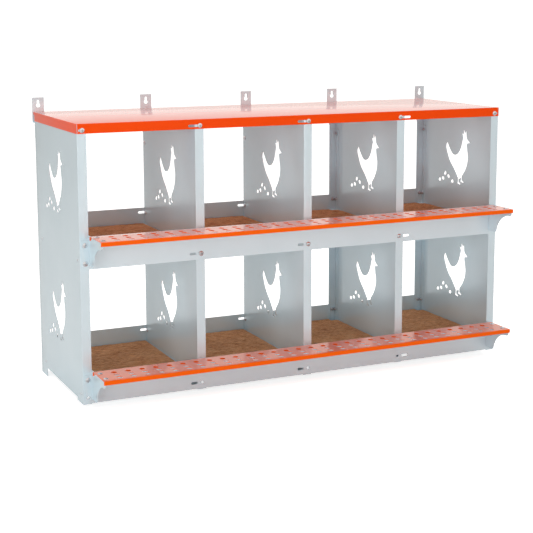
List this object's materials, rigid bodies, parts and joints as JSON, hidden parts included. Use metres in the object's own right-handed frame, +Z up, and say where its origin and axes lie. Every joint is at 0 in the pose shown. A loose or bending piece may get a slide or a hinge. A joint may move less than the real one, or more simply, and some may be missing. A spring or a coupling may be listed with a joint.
{
  "type": "nesting box",
  "caption": "Wall-hung galvanised nesting box with tiers of open nests, hen-shaped vent cut-outs, an orange coated roof, drilled perches and loose nest mats.",
  "frame": {"origin": "middle of the bounding box at the height of the rear feet's soles", "axes": "+X along the row of nests to the right, +Y towards the wall, +Z up"},
  "size_m": [1.208, 0.5096, 0.744],
  "materials": {
    "orange_coat": "satin powder coat",
    "galvanised_sheet": "hot-dip galvanised sheet, faint spangle",
    "galvanised_strap": "galvanised, smooth",
    "zinc_fasteners": "bright zinc plating",
    "coir_mat": "needled brown fibre"
  },
  "bodies": {
    "nest_box": {"roof": "orange_coat", "end_panel_left": "galvanised_sheet", "partition_1": "galvanised_sheet", "partition_2": "galvanised_sheet", "partition_3": "galvanised_sheet", "end_panel_right": "galvanised_sheet", "corner_angle_1": "galvanised_strap", "corner_angle_2": "galvanised_strap", "corner_angle_3": "galvanised_strap", "corner_angle_4": "galvanised_strap", "corner_angle_5": "galvanised_strap", "hanger_1": "galvanised_strap", "hanger_2": "galvanised_strap", "hanger_3": "galvanised_strap", "hanger_4": "galvanised_strap", "hanger_5": "galvanised_strap", "fascia_lower": "galvanised_sheet", "fascia_upper": "galvanised_sheet", "rear_rail_lower": "galvanised_sheet", "rear_rail_upper": "galvanised_sheet", "perch_lower": "orange_coat", "perch_upper": "orange_coat", "perch_bracket_lower_left": "galvanised_strap", "perch_bracket_lower_right": "galvanised_strap", "perch_bracket_upper_left": "galvanised_strap", "perch_bracket_upper_right": "galvanised_strap", "floor_tray_lower_1": "galvanised_sheet", "floor_tray_lower_2": "galvanised_sheet", "floor_tray_lower_3": "galvanised_sheet", "floor_tray_lower_4": "galvanised_sheet", "floor_tray_upper_1": "galvanised_sheet", "floor_tray_upper_2": "galvanised_sheet", "floor_tray_upper_3": "galvanised_sheet", "floor_tray_upper_4": "galvanised_sheet", "roof_screws": "zinc_fasteners", "roof_nuts": "zinc_fasteners", "hanger_screws": "zinc_fasteners", "hanger_nuts": "zinc_fasteners", "fascia_screws": "zinc_fasteners", "fascia_nuts": "zinc_fasteners", "bracket_screws": "zinc_fasteners", "bracket_nuts": "zinc_fasteners", "perch_screws": "zinc_fasteners", "perch_nuts": "zinc_fasteners", "rail_screws": "zinc_fasteners", "rail_nuts": "zinc_fasteners", "corner_screws": "zinc_fasteners", "corner_nuts": "zinc_fasteners", "tray_rivets": "zinc_fasteners"},
    "mat_lower_1": {"nest_mat_lower_1": "coir_mat"},
    "mat_lower_2": {"nest_mat_lower_2": "coir_mat"},
    "mat_lower_3": {"nest_mat_lower_3": "coir_mat"},
    "mat_lower_4": {"nest_mat_lower_4": "coir_mat"},
    "mat_upper_1": {"nest_mat_upper_1": "coir_mat"},
    "mat_upper_2": {"nest_mat_upper_2": "coir_mat"},
    "mat_upper_3": {"nest_mat_upper_3": "coir_mat"},
    "mat_upper_4": {"nest_mat_upper_4": "coir_mat"}
  },
  "joints": [
    {"name": "mat_lower_1_lift", "type": "slide", "parent": "nest_box", "child": "mat_lower_1", "axis": [0, 0, 1], "range_m": [0, 0.12]},
    {"name": "mat_lower_2_lift", "type": "slide", "parent": "nest_box", "child": "mat_lower_2", "axis": [0, 0, 1], "range_m": [0, 0.12]},
    {"name": "mat_lower_3_lift", "type": "slide", "parent": "nest_box", "child": "mat_lower_3", "axis": [0, 0, 1], "range_m": [0, 0.12]},
    {"name": "mat_lower_4_lift", "type": "slide", "parent": "nest_box", "child": "mat_lower_4", "axis": [0, 0, 1], "range_m": [0, 0.12]},
    {"name": "mat_upper_1_lift", "type": "slide", "parent": "nest_box", "child": "mat_upper_1", "axis": [0, 0, 1], "range_m": [0, 0.12]},
    {"name": "mat_upper_2_lift", "type": "slide", "parent": "nest_box", "child": "mat_upper_2", "axis": [0, 0, 1], "range_m": [0, 0.12]},
    {"name": "mat_upper_3_lift", "type": "slide", "parent": "nest_box", "child": "mat_upper_3", "axis": [0, 0, 1], "range_m": [0, 0.12]},
    {"name": "mat_upper_4_lift", "type": "slide", "parent": "nest_box", "child": "mat_upper_4", "axis": [0, 0, 1], "range_m": [0, 0.12]}
  ]
}
